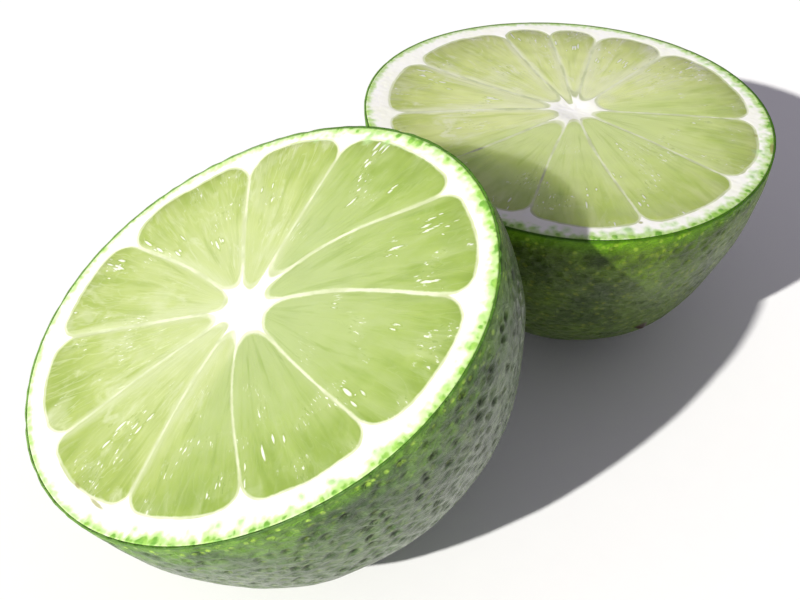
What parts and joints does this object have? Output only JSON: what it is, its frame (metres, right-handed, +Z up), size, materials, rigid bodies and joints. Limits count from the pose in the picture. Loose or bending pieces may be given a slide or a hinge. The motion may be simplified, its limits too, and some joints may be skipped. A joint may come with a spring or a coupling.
{
  "type": "lime halves",
  "caption": "A fresh green lime cut across the middle, one half standing on its end and the other leaning against its rim.",
  "frame": {"origin": "on the surface the halves rest on, under the middle of the pair's box", "axes": "+Z up; +X along the pair, from the leaning half to the standing half; +Y across the pair, away from the side the leaning half's cut face is seen from"},
  "size_m": [0.1084, 0.0542, 0.0454],
  "materials": {
    "leaning_lime": "pitted waxy green peel, with a white pith ring and wet pale yellow-green pulp on the cut face",
    "standing_lime": "darker pitted waxy green peel, with a cream pith ring and wet pale yellow-green pulp on the cut face"
  },
  "bodies": {
    "root": {"leaning_half": "leaning_lime", "standing_half": "standing_lime"}
  },
  "joints": []
}
